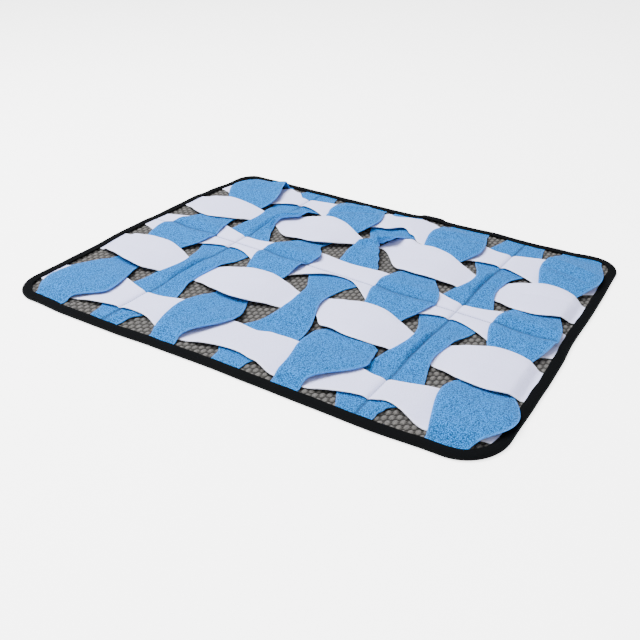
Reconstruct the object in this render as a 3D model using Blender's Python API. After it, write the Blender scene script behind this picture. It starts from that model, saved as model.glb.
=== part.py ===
"""Snuffle mat: a grey cloth bound in black tape, with blue and white fleece strips woven over it.

Blue strips run front to back and white strips run left to right. Both have scalloped edges: a strip
is widest at every other crossing, where it stands up as a petal over the strip below it and leaves
a pocket. All sizes are in millimetres; make_object() turns them into metres. X runs left to right,
Y front to back, Z up, and the origin is on the floor under the middle of the mat.
"""

import bpy
import numpy as np

MM = 0.001

# ---- overall sizes ----
HALF_WIDTH = 351.5          # outer edge of the binding, left to right
HALF_DEPTH = 252.0          # outer edge of the binding, front to back
EDGE_STEP = 24.0            # spacing of the outline's points on its straight runs
ARC_STEPS = 6               # outline steps in each corner
BINDING_WIDTH = 13.0
BINDING_HEIGHT = 5.8
BINDING_LIMB = 1.1          # thickness of the tape over the cloth ends
BINDING_SOLE = 0.9          # thickness of the tape under the base
BINDING_NOSE = 2.2          # solid tape outside the slot
BINDING_FOLD = ((0.7, 0.8), (0.0, 2.9), (0.7, 5.0))  # its rounded outside: distance in, height
GAP = 0.3                   # between pieces that touch
BASE_TOP = 3.0
BASE_RIM_INSET = 2.5        # base edge inside the slot
CLOTH = 2.0                 # fleece thickness
CLOTH_SQUEEZED = 1.1        # fleece thickness inside the binding
SQUEEZE_START = 9.0         # from a strip's end to where it is fully squeezed
SQUEEZE_RUN = 6.0           # length over which it thickens again
TUCK = 7.0                  # from the outer edge to a strip's end

LOW = BASE_TOP + GAP        # underside of a strip lying on the base
OVER = LOW + CLOTH + 0.5    # underside of a strip crossing over another
STATION_STEP = 12.0         # spacing of the sections along a strip
END_STATIONS = (0.0, 9.0, 13.0, 18.0, 24.0)  # sections near each end, from the end
ACROSS = (-1.0, -0.5, 0.0, 0.5, 1.0)

# ---- the mat's outline ----
# Corners from front left to back left: side in x, side in y, radius, start angle
CORNERS = (
    (-1, -1, 47.0, 180.0),
    (1, -1, 56.0, 270.0),
    (1, 1, 40.0, 0.0),
    (-1, 1, 27.0, 90.0),
)
# how far each side wanders inwards: (place along the side, inset)
WANDER = {
    "front": ((-300, 3), (-240, 0), (-150, 0), (-90, 2), (0, 3), (60, 2), (140, 1), (210, 0), (290, 3)),
    "right": ((-200, 3), (-120, 1), (-80, 0), (-40, 0), (10, 2), (100, 0), (130, 0), (210, 1)),
    "back": ((-300, 1), (-200, 3), (-90, 5), (5, 5), (28, 0), (50, 0), (90, 3), (150, 1), (210, 5),
             (270, 4), (310, 1)),
    "left": ((-200, 5), (-100, 4), (-50, 0), (0, 0), (30, 2), (120, 2), (150, 6), (210, 14), (240, 16)),
}

# ---- the strips ----
# number: centre at the first end, centre at the last end,
#         reach to the lower side and the upper side at the first end, then at the last end.
# A blue strip's first end is at the front and its lower side is its left; a white strip's first
# end is at the left and its lower side is its front.
BLUE = {
    1: (-277, -254, 28, 28, 30, 30),
    2: (-181, -165, 26, 26, 30, 30),
    3: (-84, -67, 20, 20, 30, 30),
    4: (10, 20, 26, 26, 30, 30),
    5: (102, 114, 21, 21, 30, 30),
    6: (188, 206, 22, 22, 30, 30),
    7: (293, 294, 23, 17, 28, 28),
}
WHITE = {
    1: (-182, -195, 20, 20, 14, 14),
    2: (-80, -99, 18, 37, 29, 29),
    3: (20, -7, 23, 23, 26, 26),
    4: (103, 77, 14, 26, 21, 21),
    5: (193, 156, 20, 20, 14, 14),
}
SEAM_BLUE = (2, 6)          # blue strips sewn down along their middle
SEAM_WHITE = 3              # the white strip sewn down along its middle
NARROW = 20.5               # usual half width between two petals
WIDE = 45.0                 # usual half width in the middle of a petal

# Crossings where the strip is on top, (strip, the other strip):
#   lower side's widest place, its reach, upper side's widest place, its reach (a place is counted
#   along the strip from the crossing), then the lift at the lower side, the middle and the upper side.
BLUE_OVER = {
    (1, 1): (-14, 44, -8, 61, 7, 8, 8), (3, 1): (22, 35, 18, 54, 8, 8, 8),
    (5, 1): (22, 38, 28, 60, 8, 8, 8), (7, 1): (20, 37, 20, 53, 9, 9, 7),
    (1, 3): (-24, 40, -20, 56, 8, 7, 8), (3, 3): (2, 45, 14, 45, 8, 8, 11),
    (5, 3): (10, 34, -4, 60, 8, 7, 8), (7, 3): (0, 45, 0, 42, 8, 7, 8),
    (1, 5): (-4, 54, -34, 53, 8, 10, 14), (3, 5): (12, 42, -6, 53, 8, 9, 9),
    (5, 5): (28, 44, -8, 52, 8, 9, 9), (7, 5): (18, 42, 4, 47, 8, 9, 8),
    (2, 2): (10, 20, -8, 27, 3, 3, 3), (4, 2): (0, 12, 26, 31, 5, 5, 5),
    (6, 2): (15, 19, -6, 25, 3, 3, 3), (2, 4): (0, 29, 14, 9, 4, 3, 4),
    (4, 4): (0, 16, 14, 12, 7, 7, 7), (6, 4): (8, 18, 0, 23, 3, 3, 3),
}
WHITE_OVER = {
    (1, 2): (32, 22, 12, 20, 3, 2, 3), (1, 4): (0, 25, 0, 21, 3, 3, 3),
    (1, 6): (4, 20, -12, 18, 3, 2, 3), (3, 2): (14, 16, 18, 21, 2, 2, 2),
    (3, 4): (10, 4, 0, 33, 4, 2, 3), (3, 6): (0, 20, 8, 19, 2, 2, 2),
    (5, 2): (8, 8, -10, 16, 3, 2, 3), (5, 4): (10, 0, 4, 33, 5, 5, 5),
    (5, 6): (-10, 22, -16, 17, 3, 2, 3), (2, 1): (28, 36, 14, 41, 8, 8, 8),
    (2, 3): (4, 35, 14, 42, 8, 8, 8), (2, 5): (6, 34, -4, 44, 8, 8, 8),
    (2, 7): (-4, 43, -4, 39, 8, 8, 8), (4, 1): (-8, 42, -16, 35, 8, 8, 8),
    (4, 3): (-12, 29, -20, 56, 8, 9, 11), (4, 5): (-6, 31, -20, 50, 8, 8, 10),
    (4, 7): (-14, 47, -6, 38, 9.5, 8, 8),
}
# Crossings where the strip is underneath and its width isn't the usual one: place and reach of the
# lower side, then of the upper side.
BLUE_UNDER = {
    (1, 4): (0, 10, 0, 32), (3, 4): (0, 12, -22, 19), (5, 2): (0, 12, 0, 30),
}
WHITE_UNDER = {
    (1, 1): (0, 38, 0, 45), (1, 3): (0, 38, 0, 45), (1, 5): (0, 38, 0, 45), (1, 7): (0, 20, 0, 45),
    (2, 2): (0, 16, 0, 24), (2, 4): (0, 10, 0, 30),
    (5, 1): (0, 45, 0, 34), (5, 3): (0, 34, 0, 38), (5, 5): (0, 36, 0, 45),
}
# Extra places where a side's reach is set: (strip, side): (place in the mat, reach), ...
BLUE_SIDES = {
    (1, 1): ((224, 25),),
    (2, 1): ((133, 30),),
    (3, 1): ((-28, 35), (4, 36)),
    (4, 1): ((141, 34),),
}
WHITE_SIDES = {
    (4, 1): ((-130, 50), (38, 46)),
}
# Single raised folds at a blue strip's upper side: strip, place in the mat, reach along the strip,
# reach across it, height.
BLUE_FOLDS = (
    (1, 222, 13, 24, 8),
    (2, 108, 22, 14, 6),
    (2, 132, 15, 26, 7),
    (4, 101, 24, 16, 8),
    (4, 134, 20, 24, 12),
)

# ---- how a strip rises and falls ----
# Distances from a crossing: whole as far as the first, gone by the second.
PETAL_HOLD = (47.0, 73.0)   # a strip stays above the other one
WAIST_HOLD = (24.0, 60.0)   # the same for a blue strip's narrow crossings
PETAL_CROWN = (12.0, 73.0)  # a strip's further lift
WAIST_CROWN = (12.0, 60.0)  # the same for a blue strip's narrow crossings
SEAM_REACH = 9.0            # how far the middle seam draws a blue petal down
SEAM_EDGE_LIFT = 4.6        # what stays of the lift at a petal's sides on that seam
STITCH_REACH = 5.0          # how far a strip's own seam draws it down
END_BEYOND = 8.0            # the end widths hold this far past a strip's ends
END_FLAT = 9.0              # a strip lies flat this far from its end
END_RISE = 15.0             # and rises over this length

COLOURS = {
    "base": (0.23, 0.22, 0.21, 1.0),
    "binding": (0.010, 0.011, 0.013, 1.0),
    "blue": (0.11, 0.35, 0.68, 1.0),
    "white": (0.74, 0.75, 0.80, 1.0),
}


def smooth(t):
    """S-shaped ramp: 0 below 0, 1 above 1."""
    t = np.clip(t, 0.0, 1.0)
    return t * t * (3.0 - 2.0 * t)


def through(rows, place):
    """Value at a place, eased by half cosines through (place, value) rows."""
    place = np.asarray(place, float)
    value = np.full_like(place, rows[0][1])
    for (start, low), (end, high) in zip(rows, rows[1:]):
        part = np.clip((place - start) / (end - start), 0.0, 1.0)
        eased = low + (high - low) * (1.0 - np.cos(np.pi * part)) / 2.0
        value = np.where(place >= start, eased, value)
    return value


def wander(x, y):
    """Move points of the even outline inwards by each side's inset."""
    in_x = np.where(x < 0.0, through(WANDER["left"], y), through(WANDER["right"], y))
    in_y = np.where(y < 0.0, through(WANDER["front"], x), through(WANDER["back"], x))
    return x * (1.0 - in_x / HALF_WIDTH), y * (1.0 - in_y / HALF_DEPTH)


def outline():
    """Points round the mat's outer edge, anticlockwise: rounded corners and straight runs, wandered."""
    arcs = []
    for side_x, side_y, radius, start in CORNERS:
        turn = np.radians(start + np.linspace(0.0, 90.0, ARC_STEPS + 1))
        centre = np.array((side_x * (HALF_WIDTH - radius), side_y * (HALF_DEPTH - radius)))
        arcs.append(centre + radius * np.stack((np.cos(turn), np.sin(turn)), axis=1))
    points = []
    for arc, following in zip(arcs, arcs[1:] + arcs[:1]):
        run = following[0] - arc[-1]
        count = round(np.linalg.norm(run) / EDGE_STEP)
        parts = np.arange(1, count)[:, None] / count
        points += [arc, arc[-1] + run * parts]
    x, y = wander(*np.concatenate(points).T)
    return np.stack((x, y), axis=1)


EDGE = outline()


def inwards(points, distance):
    """The closed outline moved in by a distance along its normals."""
    along = np.roll(points, -1, axis=0) - np.roll(points, 1, axis=0)
    along /= np.linalg.norm(along, axis=1, keepdims=True)
    normal = np.stack((along[:, 1], -along[:, 0]), axis=1)
    return points - normal * distance


def blue_x(number, y):
    """Centre line of a blue strip."""
    first, last = BLUE[number][:2]
    return first + (last - first) * (y + HALF_DEPTH) / (2.0 * HALF_DEPTH)


def white_y(number, x):
    """Centre line of a white strip."""
    first, last = WHITE[number][:2]
    return first + (last - first) * (x + HALF_WIDTH) / (2.0 * HALF_WIDTH)


def strip_end(centre, lower, upper, places, edge):
    """Place on one side of the mat nearest its middle, over the width of a strip's end."""
    width = np.linspace(centre - lower, centre + upper, 9)
    order = np.argsort(places)
    return float(np.abs(np.interp(width, places[order], edge[order])).min()) - TUCK


def blue_ends(number):
    """Where a blue strip starts and ends, inside the binding."""
    size = BLUE[number]
    x, y = EDGE.T
    front = strip_end(size[0], size[2], size[3], x[y < 0.0], y[y < 0.0])
    back = strip_end(size[1], size[4], size[5], x[y > 0.0], y[y > 0.0])
    return -front, back


def white_ends(number):
    """Where a white strip starts and ends, inside the binding."""
    size = WHITE[number]
    x, y = EDGE.T
    left = strip_end(size[0], size[2], size[3], y[x < 0.0], x[x < 0.0])
    right = strip_end(size[1], size[4], size[5], y[x > 0.0], x[x > 0.0])
    return -left, right


def reaches(number, ends, crossings, over, under, sides, size):
    """Rows of (place, reach) for the lower and the upper side of a strip."""
    lower = [(ends[0] - END_BEYOND, size[2])]
    upper = [(ends[0] - END_BEYOND, size[3])]
    for other, place in crossings:
        usual = WIDE if other % 2 else NARROW
        row = over.get((number, other)) or under.get((number, other)) or (0, usual, 0, usual)
        lower.append((place + row[0], row[1]))
        upper.append((place + row[2], row[3]))
    lower.append((ends[1] + END_BEYOND, size[4]))
    upper.append((ends[1] + END_BEYOND, size[5]))
    lower += sides.get((number, -1), ())
    upper += sides.get((number, 1), ())
    return sorted(lower), sorted(upper)


def across_lift(side, lower, middle, upper):
    """Lift that runs from the middle of a strip to its two sides as a parabola."""
    edge = np.where(side < 0.0, lower, upper)
    return middle + (edge - middle) * side ** 2


def eased_out(distance, whole, gone):
    """1 as far as whole from a crossing, easing to 0 at gone."""
    return 1.0 - smooth((np.abs(distance) - whole) / (gone - whole))


def ends_eased(height, place, ends):
    """Bring a strip down to the base before it enters the binding."""
    first = smooth((place - ends[0] - END_FLAT) / END_RISE)
    last = smooth((ends[1] - END_FLAT - place) / END_RISE)
    return LOW + (height - LOW) * first * last


def blue_surface(number, y, side):
    """Underside of a blue strip at y, with side from -1 (left edge) to 1 (right edge)."""
    ends = blue_ends(number)
    crossings = [(row, float(white_y(row, blue_x(number, 0.0)))) for row in WHITE]
    lower, upper = reaches(
        number, ends, crossings, BLUE_OVER, BLUE_UNDER, BLUE_SIDES, BLUE[number])
    reach = np.where(side < 0.0, through(lower, y), through(upper, y))
    centre = blue_x(number, y)
    x = centre + side * reach
    z = np.full_like(x, LOW)
    for row in WHITE:
        if (number, row) not in BLUE_OVER:
            continue
        distance = y - white_y(row, x)
        lift = across_lift(side, *BLUE_OVER[number, row][4:])
        if row == SEAM_WHITE:
            drawn = np.exp(-(distance / SEAM_REACH) ** 2)
            lift = lift * (1.0 - drawn) + drawn * SEAM_EDGE_LIFT * side ** 2
        if number in SEAM_BLUE:
            lift = lift * (1.0 - np.exp(-((x - centre) / STITCH_REACH) ** 2))
        hold, crown = (PETAL_HOLD, PETAL_CROWN) if row % 2 else (WAIST_HOLD, WAIST_CROWN)
        z += (OVER - LOW) * eased_out(distance, *hold) + lift * eased_out(distance, *crown)
    for strip, place, reach_along, reach_across, height in BLUE_FOLDS:
        if strip == number:
            along = (y - place) / reach_along
            z += height * np.exp(-along ** 2 - ((side - 1.0) * reach / reach_across) ** 2)
    return x, y, ends_eased(z, y, ends)


def white_surface(number, x, side):
    """Underside of a white strip at x, with side from -1 (front edge) to 1 (back edge)."""
    ends = white_ends(number)
    crossings = [(column, float(blue_x(column, white_y(number, 0.0)))) for column in BLUE]
    lower, upper = reaches(
        number, ends, crossings, WHITE_OVER, WHITE_UNDER, WHITE_SIDES, WHITE[number])
    reach = np.where(side < 0.0, through(lower, x), through(upper, x))
    centre = white_y(number, x)
    y = centre + side * reach
    z = np.full_like(x, LOW)
    for column in BLUE:
        if (number, column) not in WHITE_OVER:
            continue
        distance = x - blue_x(column, y)
        lift = across_lift(side, *WHITE_OVER[number, column][4:])
        if column in SEAM_BLUE:
            lift = lift * (1.0 - np.exp(-(distance / STITCH_REACH) ** 2))
        if number == SEAM_WHITE:
            lift = lift * (1.0 - np.exp(-((y - centre) / STITCH_REACH) ** 2))
        z += (OVER - LOW) * eased_out(distance, *PETAL_HOLD) + lift * eased_out(distance, *PETAL_CROWN)
    return x, y, ends_eased(z, x, ends)


def material(name, roughness):
    """Plain material of one of the mat's colours."""
    made = bpy.data.materials.new(name)
    made.use_nodes = True
    shader = made.node_tree.nodes["Principled BSDF"]
    shader.inputs["Base Color"].default_value = COLOURS[name]
    shader.inputs["Roughness"].default_value = roughness
    shader.inputs["Metallic"].default_value = 0.0
    return made


def make_object(name, points, faces, finish):
    """One named object from points in millimetres."""
    mesh = bpy.data.meshes.new(name)
    mesh.from_pydata((np.asarray(points) * MM).tolist(), [], faces)
    mesh.materials.append(finish)
    mesh.shade_smooth()
    mesh.set_sharp_from_angle(angle=np.radians(40.0))
    made = bpy.data.objects.new(name, mesh)
    bpy.context.scene.collection.objects.link(made)
    return made


def ring_faces(count, rings, closed):
    """Faces between rings of count points each; a closed set joins its last ring to its first."""
    faces = []
    last = rings if closed else rings - 1
    for ring in range(last):
        following = (ring + 1) % rings
        for i in range(count):
            j = (i + 1) % count
            faces.append((ring * count + i, ring * count + j, following * count + j, following * count + i))
    return faces


def base_panel(finish):
    """The grey cloth: thin at its rim, where it sits in the binding, and whole inside it."""
    rim = inwards(EDGE, BASE_RIM_INSET)
    step = inwards(EDGE, BINDING_WIDTH + GAP)
    rim_bottom = BINDING_SOLE + GAP
    levels = ((step, 0.0), (step, rim_bottom), (rim, rim_bottom), (rim, BASE_TOP))
    points = np.concatenate([np.column_stack((ring, np.full(len(ring), z))) for ring, z in levels])
    count = len(EDGE)
    faces = ring_faces(count, len(levels), closed=False)
    faces.append(tuple(range(count - 1, -1, -1)))
    faces.append(tuple(range(3 * count, 4 * count)))
    return make_object("base_panel", points, faces, finish)


def edge_binding(finish):
    """Black tape folded round the edge: a U-shaped section carried round the outline."""
    slot_top = BINDING_HEIGHT - BINDING_LIMB
    section = (
        (BINDING_WIDTH, 0.0), (BINDING_NOSE, 0.0), *BINDING_FOLD, (BINDING_NOSE, BINDING_HEIGHT),
        (BINDING_WIDTH, BINDING_HEIGHT), (BINDING_WIDTH, slot_top), (BINDING_NOSE, slot_top),
        (BINDING_NOSE, BINDING_SOLE), (BINDING_WIDTH, BINDING_SOLE),
    )
    rings = [np.column_stack((inwards(EDGE, inset), np.full(len(EDGE), z))) for inset, z in section]
    faces = ring_faces(len(EDGE), len(section), closed=True)
    return make_object("edge_binding", np.concatenate(rings), faces, finish)


def stations(ends):
    """Places of a strip's sections: close together at its ends, evenly spaced between."""
    near = np.array(END_STATIONS)
    first = ends[0] + near
    last = ends[1] - near[::-1]
    count = round((last[0] - first[-1]) / STATION_STEP)
    return np.concatenate((first[:-1], np.linspace(first[-1], last[0], count + 1), last[1:]))


def strip(name, surface, ends, finish):
    """A cloth strip: its underside and the same surface one cloth thickness higher, joined all round."""
    places = stations(ends)
    place, side = np.meshgrid(places, ACROSS, indexing="ij")
    x, y, low = surface(place, side)
    from_end = np.minimum(place - ends[0], ends[1] - place)
    full = smooth((from_end - SQUEEZE_START) / SQUEEZE_RUN)
    high = low + CLOTH_SQUEEZED + (CLOTH - CLOTH_SQUEEZED) * full
    width = len(ACROSS)
    underside = np.stack((x, y, low), axis=-1)
    topside = np.stack((x, y, high), axis=-1)[:, ::-1]
    rings = np.concatenate((underside, topside), axis=1)
    count = 2 * width
    faces = ring_faces(count, len(places), closed=False)
    first = 0
    last = (len(places) - 1) * count
    for i in range(width - 1):
        j = count - 1 - i
        faces.append((first + j, first + j - 1, first + i + 1, first + i))
        faces.append((last + i, last + i + 1, last + j - 1, last + j))
    return make_object(name, rings.reshape(-1, 3), faces, finish)


def outwards(made):
    """Turn the faces of a closed mesh outwards if its signed volume is negative."""
    mesh = made.data
    mesh.calc_loop_triangles()
    points = np.array([vertex.co for vertex in mesh.vertices])
    corners = points[np.array([triangle.vertices for triangle in mesh.loop_triangles])]
    volume = np.einsum("ij,ij->i", corners[:, 0], np.cross(corners[:, 1], corners[:, 2])).sum()
    if volume < 0.0:
        mesh.flip_normals()


def build():
    """Clear the scene and make every piece of the mat."""
    for old in list(bpy.data.objects):
        bpy.data.objects.remove(old, do_unlink=True)
    made = [
        base_panel(material("base", 0.95)),
        edge_binding(material("binding", 0.75)),
    ]
    blue = material("blue", 0.9)
    for number in BLUE:
        def surface(place, side, number=number):
            return blue_surface(number, place, side)
        made.append(strip(f"blue_strip_{number}", surface, blue_ends(number), blue))
    white = material("white", 0.9)
    for number in WHITE:
        def surface(place, side, number=number):
            return white_surface(number, place, side)
        made.append(strip(f"white_strip_{number}", surface, white_ends(number), white))
    for piece in made:
        outwards(piece)


build()
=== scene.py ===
"""Snuffle mat: the finish of a lumpy grey cloth bound in black tape, with scalloped blue and white
fleece strips woven over it and sewn down along three seams.

Sizes in the tables are millimetres; put_mesh() turns points into metres. X runs left to right,
Y front to back, Z up, and the origin is on the floor under the middle of the mat.
"""

from types import SimpleNamespace

import bpy
import numpy as np
from mathutils import Matrix


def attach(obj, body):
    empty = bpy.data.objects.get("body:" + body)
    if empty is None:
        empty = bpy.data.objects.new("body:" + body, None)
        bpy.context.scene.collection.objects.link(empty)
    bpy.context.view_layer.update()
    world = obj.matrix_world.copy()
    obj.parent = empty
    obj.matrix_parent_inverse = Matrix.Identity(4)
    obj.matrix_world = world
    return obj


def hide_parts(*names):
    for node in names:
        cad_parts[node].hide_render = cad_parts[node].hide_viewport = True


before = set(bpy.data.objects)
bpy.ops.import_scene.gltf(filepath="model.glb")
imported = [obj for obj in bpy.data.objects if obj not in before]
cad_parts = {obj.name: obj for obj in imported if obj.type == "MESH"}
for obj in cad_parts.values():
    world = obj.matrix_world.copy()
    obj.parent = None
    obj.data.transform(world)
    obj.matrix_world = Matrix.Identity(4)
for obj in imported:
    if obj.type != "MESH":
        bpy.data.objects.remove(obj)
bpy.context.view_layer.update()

bl_info = {
    "name": "Snuffle Mat",
    "version": (1, 0, 0),
    "blender": (4, 5, 0),
    "location": "View3D > Sidebar > Snuffle Mat",
    "description": "Makes the cloth, the tape and the woven fleece strips of a snuffle mat",
    "category": "Object",
}

MM = 0.001

# ---- sizes shared with the solids ----
HALF_WIDTH = 351.5  # outer edge of the tape, left to right
HALF_DEPTH = 252.0  # outer edge of the tape, front to back
EDGE_STEP = 24.0  # spacing of the coarse outline that strip ends are measured on
ARC_STEPS = 6  # steps round each corner of that outline
TAPE_WIDTH = 13.0  # the folded tape, from its outer edge to its inner edges
TAPE_TOP = 5.8  # its height
TAPE_LIMB = 1.1  # thickness of its upper limb
TAPE_SOLE = 0.9  # thickness of its lower limb
TAPE_NOSE = 2.2  # its thickness at the outer fold
GAP = 0.3  # room left between two cloths
BASE_TOP = 3.0  # top of the base cloth's lumps
CLOTH = 2.0  # thickness of the fleece
CLOTH_SQUEEZED = 1.1  # its thickness inside the tape
SQUEEZE_START = 9.0  # where it starts to swell, from a strip's end
SQUEEZE_RUN = 6.0
TUCK = 7.0  # how far inside the mat's edge a strip ends
LOW = BASE_TOP + GAP  # underside of a strip that lies on the base
OVER = LOW + CLOTH + 0.5  # underside of a strip that passes over another

# Corners from front left to back left: side in x, side in y, radius, start angle
CORNERS = (
    (-1, -1, 47.0, 180.0),
    (1, -1, 56.0, 270.0),
    (1, 1, 40.0, 0.0),
    (-1, 1, 27.0, 90.0),
)
# How far each side wanders inwards: (place along the side, inset)
WANDER = {
    "front": ((-300, 3), (-240, 0), (-150, 0), (-90, 2), (0, 3), (60, 2), (140, 1), (210, 0), (290, 3)),
    "right": ((-200, 3), (-120, 1), (-80, 0), (-40, 0), (10, 2), (100, 0), (130, 0), (210, 1)),
    "back": ((-300, 1), (-200, 3), (-90, 5), (5, 5), (28, 0), (50, 0), (90, 3), (150, 1), (210, 5),
             (270, 4), (310, 1)),
    "left": ((-200, 5), (-100, 4), (-50, 0), (0, 0), (30, 2), (120, 2), (150, 6), (210, 14), (240, 16)),
}

# number: centre at the first end, centre at the last end,
#         reach to the lower side and the upper side at the first end, then at the last end.
# A blue strip's first end is at the front and its lower side is its left; a white strip's first
# end is at the left and its lower side is its front.
BLUE = {
    1: (-277, -254, 28, 20, 30, 30),
    2: (-181, -165, 20, 22, 30, 30),
    3: (-84, -67, 20, 20, 30, 30),
    4: (10, 20, 17, 19, 40, 8),
    5: (102, 114, 21, 11, 30, 30),
    6: (188, 206, 22, 19, 30, 30),
    7: (293, 294, 23, 17, 28, 28),
}
WHITE = {
    1: (-182, -195, 20, 20, 14, 14),
    2: (-80, -99, 18, 37, 29, 29),
    3: (20, -7, 23, 23, 26, 26),
    4: (103, 77, 14, 26, 21, 21),
    5: (193, 156, 20, 20, 14, 14),
}
SEAM_BLUE = (2, 6)  # blue strips sewn down along their middle
SEAM_WHITE = (3,)  # the white strip sewn down along its middle
NARROW = 20.5  # usual reach of a strip under another strip of an even number
WIDE = 45.0  # the same under a strip of an odd number

# Crossings where the strip is on top, (strip, the other strip):
#   lower side's widest place, its reach, upper side's widest place, its reach (a place is counted
#   along the strip from the crossing), then the lift at the lower side, the middle and the upper side.
BLUE_OVER = {
    (1, 1): (-14, 44, -8, 57, 7, 8, 8), (3, 1): (22, 35, 27, 50, 8, 8, 8),
    (5, 1): (42, 38.5, 28, 58, 8, 8, 8), (7, 1): (36, 41, 20, 53, 9, 9, 7),
    (1, 3): (-24, 40, -20, 56, 8, 7, 8), (3, 3): (2, 45, 14, 45, 8, 8, 11),
    (5, 3): (10, 34, -4, 60, 8, 7, 8), (7, 3): (0, 45, 0, 42, 8, 7, 8),
    (1, 5): (-4, 54, -34, 53, 8, 10, 14), (3, 5): (12, 42, -6, 53, 8, 9, 9),
    (5, 5): (28, 44, -8, 52, 8, 9, 9), (7, 5): (18, 42, 4, 47, 8, 9, 8),
    (2, 2): (10, 20, -8, 27, 3, 3, 3), (4, 2): (0, 12, 28, 22.5, 5, 5, 5),
    (6, 2): (15, 19, -6, 25, 3, 3, 3), (2, 4): (0, 29, 14, 9, 4, 3, 4),
    (4, 4): (26, 21, 20, 5, 7, 7, 7), (6, 4): (8, 18, 0, 23, 3, 3, 3),
}
WHITE_OVER = {
    (1, 2): (32, 22, 12, 20, 3, 2, 3), (1, 4): (0, 25, -6, 21.5, 3, 3, 3),
    (1, 6): (4, 20, -12, 18, 3, 2, 3), (3, 2): (14, 16, 18, 21, 2, 2, 2),
    (3, 4): (10, 4, 0, 33, 4, 2, 3), (3, 6): (0, 20, 8, 19, 2, 2, 2),
    (5, 2): (8, 8, -10, 16, 3, 2, 3), (5, 4): (5, -10, 4, 48, 5, 5, 4.8),
    (5, 6): (-10, 22, -16, 17, 3, 2, 3), (2, 1): (28, 36, 14, 41, 8, 8, 8),
    (2, 3): (4, 35, 14, 42, 8, 8, 8), (2, 5): (6, 34, -4, 44, 8, 8, 8),
    (2, 7): (-4, 43, -4, 39, 8, 8, 8), (4, 1): (-8, 42, -16, 35, 8, 8, 8),
    (4, 3): (-12, 29, -20, 56, 8, 9, 11), (4, 5): (-6, 31, -20, 50, 8, 8, 10.4),
    (4, 7): (-14, 47, -6, 38, 9.5, 8, 8.4),
}
# Crossings where the strip is underneath and its width isn't the usual one: place and reach of the
# lower side, then of the upper side.
BLUE_UNDER = {
    (1, 4): (0, 10, 0, 32), (3, 4): (0, 12, -22, 19), (4, 3): (8, 45, 12, 45), (5, 2): (0, 12, 0, 30),
}
WHITE_UNDER = {
    (1, 1): (0, 38, 0, 45), (1, 3): (0, 38, 0, 45), (1, 5): (0, 38, 0, 45), (1, 7): (0, 20, 0, 45),
    (2, 2): (0, 16, 0, 24), (2, 4): (0, 10, 0, 30), (4, 2): (0, -2, 0, 26), (4, 4): (6, -22, 0, 24),
    (5, 1): (0, 45, 0, 34), (5, 3): (0, 34, 0, 38), (5, 5): (0, 36, 0, 45),
}
# Extra places where a side's reach is set: (strip, side): (place in the mat, reach), ...
BLUE_SIDES = {
    (1, 1): ((-228, 22), (224, 29)),
    (2, -1): ((-225, 24),),
    (2, 1): ((-225, 27), (133, 30)),
    (3, 1): ((-226, 17), (-28, 35), (4, 36)),
    (4, -1): ((-225, 20), (-114, 12.5), (-66, 14), (48, 25), (72, 27), (86, 27), (97, 24), (107, 19)),
    (4, 1): ((-225, 23), (-139, 46.5), (-38, 22.5), (46, 38), (64, 29), (80, 20), (94, 12), (134, 23),
             (148, 28)),
    (5, -1): ((-238, 25), (-216, 26), (-130, 39)),
    (5, 1): ((-226, 12), (-150, 54), (-128, 49), (-119, 35)),
    (6, 1): ((-228, 21), (-217, 24)),
}
WHITE_SIDES = {
    (1, -1): ((38, 29), (72, 38), (82, 37), (210, 15), (265, 31.5), (276, 26)),
    (1, 1): ((-29, 25), (27, 27.5), (59, 30)),
    (2, -1): ((42, 7), (69, 28)),
    (2, 1): ((40, 39),),
    (4, -1): ((-114, 29), (84, 30)),
    (4, 1): ((-150, 50), (26, 56), (44, 60)),
    (5, -1): ((-1, 8), (45, 4), (67, 21)),
    (5, 1): ((-245, 34), (-227, 42), (-199, 32), (-32, 36), (-20, 43), (-8, 39), (36, 52), (57, 50),
             (76, 44)),
}
# Single raised folds at a blue strip's upper side: strip, place in the mat, reach along the strip,
# reach across it, height.
BLUE_FOLDS = (
    (1, 222, 13, 24, 8),
    (2, 108, 22, 14, 6),
    (2, 132, 15, 26, 7),
    (2, 151, 11, 26, 8.5),
    (4, 103, 22, 16, 7.5),
    (4, 134, 20, 24, 12),
    (4, 150, 9, 18, 2.5),
    (7, -17, 7, 15, 3.5),
)
# How far from a crossing the step over the other strip is whole and where it is gone, then the same
# for the crown
PETAL_EASE = ((47.0, 73.0), (12.0, 73.0))
WAIST_EASE = ((24.0, 60.0), (12.0, 60.0))
SEAM_REACH = 9.0  # how far beside the white strip's seam a blue strip is drawn down
SEAM_EDGE_LIFT = 4.6  # height that a blue strip's edges keep there
STITCH_REACH = 5.0  # how far beside any other seam a strip is drawn down
END_BEYOND = 8.0  # how far past a strip's ends its end reaches are counted
END_FLAT = 9.0  # length at a strip's end that lies on the base
END_RISE = 15.0  # length over which it rises from there

# ---- sizes of the finish alone ----
STRIP_STEP = 2.6  # spacing of a strip's sections
HALF_ACROSS = 18  # surface steps from a strip's split to its rounded edge
SEAM_STEPS = (0.0, 0.7, 1.4, 2.2, 3.2)  # closer steps beside a seam that runs along a strip
SEAM_ROOM = 8.0  # on a narrower side those steps close up
SEAM_ZONE = 7.0  # closer steps on both sides of a seam that crosses a strip
ZONE_STEPS = 15  # how many
ZONE_GAP = 0.6  # least step from those to the even ones
LEAST_REACH = 0.05  # a side that is narrower counts as this
EDGE_INSETS = (0.0, 0.12, 0.45, 1.0)  # points round a cut edge, from the edge inwards
SEAM_WIDTH = 1.4  # how far from a seam line the cloth is pinched
SEAM_PINCH = 0.70  # share of the cloth's thickness that a seam takes away
SEAM_PUFF = 1.3  # how far a blue strip rises beside its own seam
EDGE_DROOP = 1.6  # how far a lifted strip's cut edges hang below its even surface
DROOP_REACH = 6.0
LIFTED_FROM = 6.5  # height from which creases and droop start to show
LIFTED_RUN = 5.0
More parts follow.
